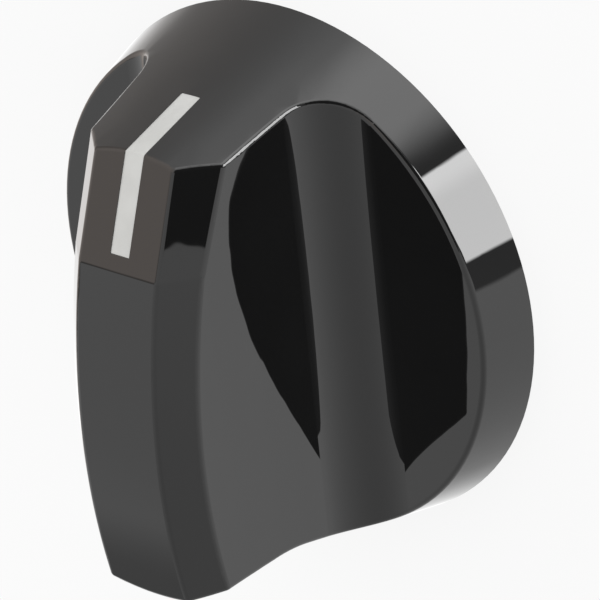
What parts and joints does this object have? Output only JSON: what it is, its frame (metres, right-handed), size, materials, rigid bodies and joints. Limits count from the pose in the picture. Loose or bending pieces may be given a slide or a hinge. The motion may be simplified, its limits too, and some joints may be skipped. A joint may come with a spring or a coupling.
{
  "type": "stove knob",
  "caption": "Round-skirted stove knob with a bevelled bar grip, a white pointer line and a hub that pushes onto a D-shaped shaft.",
  "frame": {"origin": "centre of the back rim's circle, on the plane of the rim", "axes": "+Z along the shaft axis out of the front of the knob, +Y towards the pointer end of the grip"},
  "size_m": [0.06, 0.06, 0.0319],
  "materials": {
    "black_plastic": "polished black moulding",
    "white_fill": "satin white fill in a shallow groove",
    "spring_steel": "bright spring steel strip"
  },
  "bodies": {
    "root": {"knob_body": "black_plastic", "pointer_line": "white_fill", "spring_clip": "spring_steel"}
  },
  "joints": []
}
